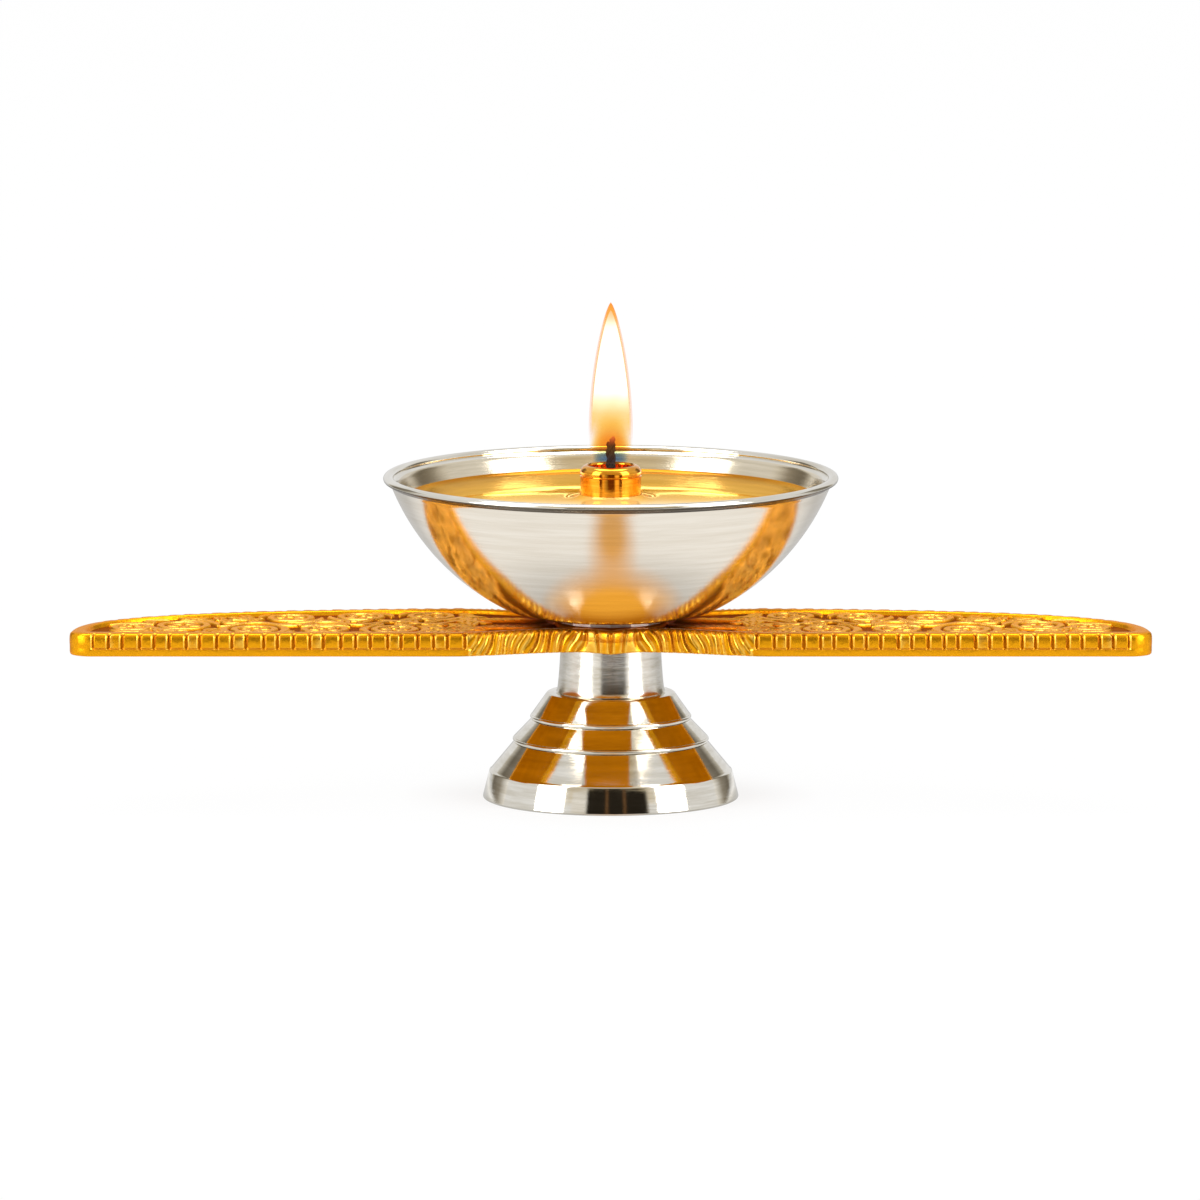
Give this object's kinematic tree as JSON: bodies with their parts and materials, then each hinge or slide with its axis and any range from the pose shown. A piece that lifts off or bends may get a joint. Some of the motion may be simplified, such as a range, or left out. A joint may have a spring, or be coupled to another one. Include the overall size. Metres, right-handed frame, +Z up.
{
  "type": "standing oil lamp with winged plate",
  "caption": "Small diya: a silver-coloured foot and collar carry a gilt winged plate and a round oil bowl, with a lift-out brass wick holder, a cotton wick and its flame.",
  "frame": {"origin": "centre of the ring that the foot stands on", "axes": "+Z up, -Y towards the viewer of the picture, X along the plate's wings"},
  "size_m": [0.1016, 0.0428, 0.047],
  "materials": {
    "silver": "polished",
    "gilt": "satin",
    "brass": "polished",
    "steel": "satin",
    "cotton": "matte",
    "flame": "matte"
  },
  "bodies": {
    "stand": {"foot": "silver", "collar": "silver", "plate": "gilt", "bowl": "silver", "bowl_stud": "steel", "flat_washer": "steel", "spring_washer": "steel", "hex_nut": "steel"},
    "wick_holder": {"wick_holder_stem": "brass", "wick_holder_cap": "brass"},
    "wick": {"wick": "cotton", "flame": "flame"}
  },
  "joints": [
    {"name": "holder_lift", "type": "slide", "parent": "stand", "child": "wick_holder", "axis": [0, 0, 1], "range_m": [0, 0.016]},
    {"name": "wick_feed", "type": "slide", "parent": "wick_holder", "child": "wick", "axis": [0, 0, 1], "range_m": [0, 0.004]}
  ]
}
